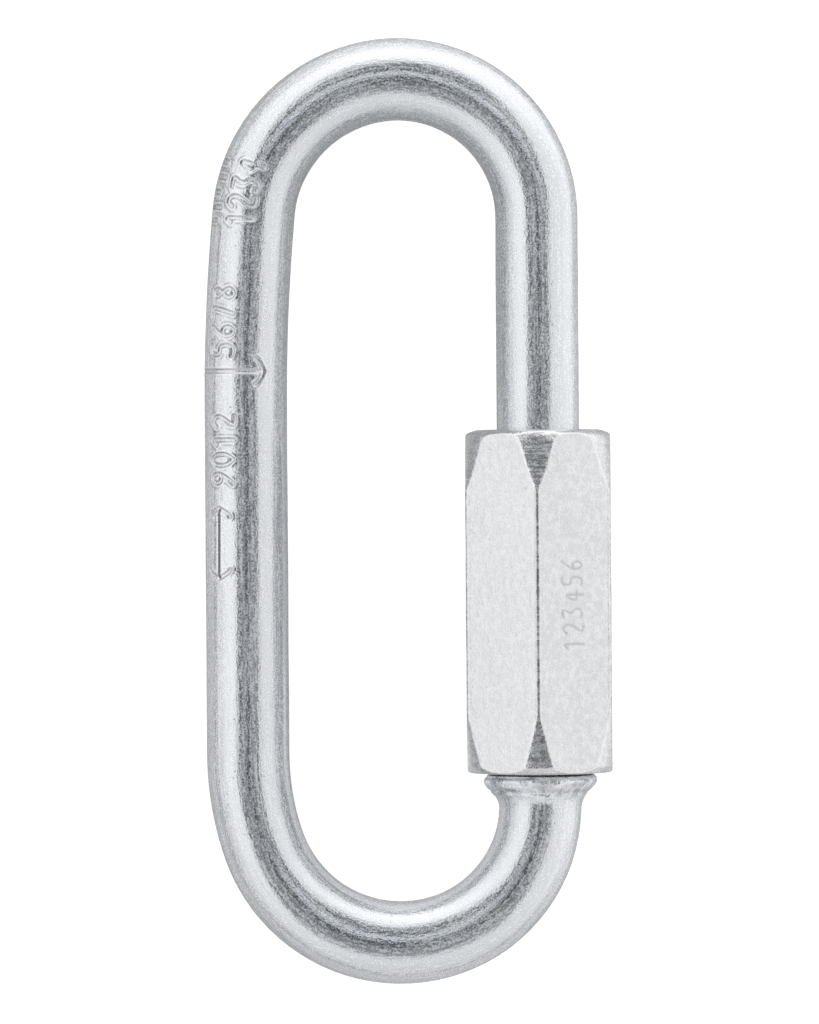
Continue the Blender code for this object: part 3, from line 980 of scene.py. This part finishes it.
def nut_steel():
    """Zinc on hexagon bar: mottled flats, broken turning rings on the tapers, edges paled with painted
    highlight, and painted shade along the corners and in the rings' valleys.
    """
    material, tree, shaders = plated_material("nut_steel")
    place = attribute(tree, "place", "Vector")
    grain = use_group(tree, ZINC_GRAIN, {"Place": place, "Grain Scale": 6000.0, "Cloud Scale": 1500.0})
    rings = use_group(tree, TOOL_RINGS, {"Place": place, "Scale": 4800.0})["Rings"]
    scratches = use_group(tree, HANDLING, {"Place": place, "Scale": 810.0})["Scratches"]
    turned, deep, edge, corner, faint = (
        attribute(tree, name) for name in ("turned", "rings", "edge", "corner", "faint")
    )
    broken = weighted(tree, (rings, 0.78), (grain["Grain"], 0.42))
    cut = product(tree, deep, maths(tree, "SUBTRACT", broken, 0.6))
    crystals = weighted(tree, (grain["Grain"], 0.36), (grain["Cloud"], 0.64), (cut, 1.3))
    share = remap(tree, crystals, 0.30, 0.70, 0.30, 0.75)
    share = maths(tree, "MAXIMUM", product(tree, share, blend(tree, deep, 1.0, 0.55)), LEAST_DULL)
    tone = weighted(tree, (grain["Cloud"], 0.45), (grain["Grain"], 0.2), (grain["Blotch"], 0.35))
    bright = mix_colour(tree, tone, *NUT_BRIGHT)
    dull = mix_colour(tree, spread(tree, crystals), *NUT_DULL)
    # painted shade: a dark line along the corners, full on the corners towards the camera
    corner_shade = product(tree, corner, remap(tree, crystals, 0.38, 0.62, 0.85, 0.30))
    # painted shade in the valleys of the turning rings
    ring_valley_shade = product(tree, deep, remap(tree, cut, 0.20, -0.20, 0.0, 0.66))
    dark = gathered(tree, "MAXIMUM", (product(tree, faint, 0.42), corner_shade, ring_valley_shade))
    # the edges are paled with painted highlight
    colours = layered(
        tree, (bright, dull), (product(tree, grain["Pits"], 0.40), NUT_PITS),
        (product(tree, edge, 0.5), PAINTED_HIGHLIGHT_METAL), (dark, NUT_FIGURE_AND_SHADE_DARK),
    )
    roughness = weighted(tree, (grain["Grain"], 0.06), (grain["Cloud"], 0.06), (turned, -0.08), (edge, -0.05))
    height = weighted(
        tree, (grain["Grain"], 6 * MICRON), (grain["Cloud"], 24 * MICRON), (grain["Pits"], -14 * MICRON),
        (cut, 22 * MICRON), (scratches, -4 * MICRON),
    )
    finish_shader(tree, shaders, share, colours, roughness, NUT_ROUGHNESS, height)
    return material


# Floor, world and camera


def floor_glow(tree, place, at):
    """How bright the floor looks in the plating: paler away from the link, and in a pool inside it."""
    oval = new_node(tree, "ShaderNodeVectorMath", {0: place, 1: GLOW_OVAL}, operation="MULTIPLY").outputs[0]
    reach = new_node(tree, "ShaderNodeVectorMath", {0: oval}, operation="LENGTH").outputs["Value"]
    around = product(tree, remap(tree, reach, *GLOW_AROUND, True), remap(tree, at["Y"], *GLOW_TOWARDS_FOOT))
    above = remap(tree, at["Y"], *GLOW_ABOVE, True)
    aside, away = (maths(tree, "ABSOLUTE", at[axis]) for axis in "XY")
    past = [maths(tree, "SUBTRACT", off, limit) for off, limit in zip((aside, away), LINK_REACH)]
    beside = remap(tree, maths(tree, "MAXIMUM", *past), *GLOW_BESIDE)
    pool_width = remap(tree, at["Y"], *POOL_WIDTH)
    pool = product(
        tree, remap(tree, aside, pool_width, POOL_CORE, 0.0, 1.0, True),
        *(remap(tree, at["Y"], *ramp) for ramp in POOL_RAMPS),
    )
    return gathered(tree, "ADD", (around, above, beside, pool, BASE_GLOW))


def add_floor():
    """A large pale floor, lit up for the camera. The plating sees its glow, crossed by two dark seams."""
    mesh = bpy.data.meshes.new("floor")
    signs = ((-1, -1), (1, -1), (1, 1), (-1, 1))
    mesh.from_pydata([(x * FLOOR_REACH, y * FLOOR_REACH, 0) for x, y in signs], [], [(0, 1, 2, 3)])
    floor = bpy.data.objects.new("floor", mesh)
    bpy.context.collection.objects.link(floor)
    material = bpy.data.materials.new("pale_floor")
    material.use_nodes = True
    tree = material.node_tree
    shader = tree.nodes["Principled BSDF"]
    shader.inputs["Roughness"].default_value = 1.0
    shader.inputs["Specular IOR Level"].default_value = 0.0
    shader.inputs["Emission Color"].default_value = WHITE
    path = new_node(tree, "ShaderNodeLightPath").outputs
    place = new_node(tree, "ShaderNodeTexCoord").outputs["Object"]
    at = new_node(tree, "ShaderNodeSeparateXYZ", {0: place}).outputs
    seams = [product(tree, *(remap(tree, at[axis], *ramp) for ramp in ramps)) for axis, *ramps in SEAMS]
    seen = path["Is Glossy Ray"]
    seam = product(tree, maths(tree, "MAXIMUM", *seams), seen)
    glow = product(tree, floor_glow(tree, place, at), maths(tree, "SUBTRACT", 1.0, seam), seen)
    shown = maths(tree, "ADD", glow, product(tree, path["Is Camera Ray"], SEEN_GLOW))
    tree.links.new(mix_colour(tree, seam, FLOOR_GREY, SEAM_GREY), shader.inputs["Base Color"])
    tree.links.new(shown, shader.inputs["Emission Strength"])
    mesh.materials.append(material)


def opening_level(tree, sideways, upward):
    """Where the dark opening is (mask), and how dark: a dark surround, a paler frame and a darker middle."""
    mask = product(
        tree, *(angle_step(tree, sideways, *edge) for edge in OPENING_SIDES),
        *(angle_step(tree, upward, *edge) for edge in OPENING_ENDS),
    )
    past = []
    for angle, centre, half in zip((sideways, upward), OPENING_CENTRE, OPENING_HALF):
        off = maths(tree, "ABSOLUTE", maths(tree, "SUBTRACT", angle, centre * DEGREE))
        past.append(maths(tree, "SUBTRACT", off, half * DEGREE))
    outside = maths(tree, "MAXIMUM", *past)
    frame_line = angle_step(tree, maths(tree, "ABSOLUTE", outside), 6.5, 3.0)
    frame_level = product(
        tree, blend(tree, angle_step(tree, upward, 7, 11), 0.44, 1.2),
        blend(tree, angle_step(tree, upward, -8, -13), 1.0, 0.5),
    )
    surround = weighted(
        tree, (angle_step(tree, upward, -14, -26), 0.26), (angle_step(tree, upward, 24, 42), 0.26)
    )
    level = blend(tree, angle_step(tree, outside, -3, 1), 0.0, surround)
    return mask, blend(tree, frame_line, level, frame_level)


def tent_level(tree, parts, sideways):
    """Brightness of the tent by side: each side has its own run from the opening's edge down to the table."""
    polar = maths(tree, "ARCCOSINE", parts["Z"])
    x_square, y_square = (product(tree, parts[axis], parts[axis]) for axis in "XY")
    x_share = maths(tree, "DIVIDE", x_square, gathered(tree, "ADD", (x_square, y_square, 0.0001)))
    shares = {"X": x_share, "Y": maths(tree, "SUBTRACT", 1.0, x_share)}
    sides = []
    for axis, side, low, high, near, far in TENT_SIDES:
        here = product(tree, shares[axis], maths(tree, side, parts[axis], 0.0))
        sides.append(product(tree, here, remap(tree, polar, low * DEGREE, high * DEGREE, near, far, True)))
    seam = product(tree, *(angle_step(tree, sideways, *edge) for edge in TENT_SEAM), x_share)
    return product(tree, gathered(tree, "ADD", sides), blend(tree, seam, 1.0, TENT_SEAM_LEVEL))


def add_studio_world():
    """A tent with a darker opening overhead, in angles from the link's normal. White to the camera."""
    world = bpy.data.worlds.new("studio")
    bpy.context.scene.world = world
    world.use_nodes = True
    tree = world.node_tree
    tree.nodes.clear()
    direction = new_node(tree, "ShaderNodeTexCoord").outputs["Generated"]
    turned = new_node(tree, "ShaderNodeVectorRotate", {"Vector": direction, "Axis": (0, 1, 0), "Angle": TILT})
    parts = new_node(tree, "ShaderNodeSeparateXYZ", {"Vector": turned.outputs["Vector"]}).outputs
    sideways = maths(tree, "ARCTAN2", parts["X"], parts["Z"])
    upward = maths(tree, "ARCTAN2", parts["Y"], parts["Z"])
    opening, dark = opening_level(tree, sideways, upward)
    level = blend(tree, opening, tent_level(tree, parts, sideways), dark)
    path = new_node(tree, "ShaderNodeLightPath").outputs
    shown = blend(tree, path["Is Camera Ray"], level, 1.0)
    tint = mix_colour(tree, opening, WHITE, OPENING_TINT)
    background = new_node(tree, "ShaderNodeBackground", {"Color": tint, "Strength": shown})
    output = new_node(tree, "ShaderNodeOutputWorld")
    tree.links.new(background.outputs[0], output.inputs["Surface"])


def add_camera():
    """Looks square onto the link's plane, with +Y up, framed as the photograph is."""
    camera_data = bpy.data.cameras.new("camera")
    camera = bpy.data.objects.new("camera", camera_data)
    bpy.context.collection.objects.link(camera)
    offset_x = (PHOTO_SIZE[0] / 2 - LINK_CENTRE_PIXEL[0]) * MM_PER_PIXEL * MM
    offset_y = (LINK_CENTRE_PIXEL[1] - PHOTO_SIZE[1] / 2) * MM_PER_PIXEL * MM
    place = to_world(np.array([offset_x, offset_y, CAMERA_DISTANCE]))
    turn = Matrix(TURN.tolist()) @ Matrix.Rotation(CAMERA_ROLL, 3, "Z")
    camera.matrix_world = Matrix.Translation(Vector(place)) @ turn.to_4x4()
    height = PHOTO_SIZE[1] * MM_PER_PIXEL * MM
    camera_data.sensor_fit = "AUTO"
    camera_data.lens = camera_data.sensor_width * CAMERA_DISTANCE / height
    camera_data.clip_end = 20
    bpy.context.scene.camera = camera


def main():
    add_camera()
    bar = build_link_body()
    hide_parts("link_body")
    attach(bar, "link")
    nut = build_sleeve_nut()
    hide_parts("sleeve_nut")
    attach(nut, "nut")
    add_floor()
    add_studio_world()
    bpy.context.scene.view_settings.view_transform = "Standard"


main()
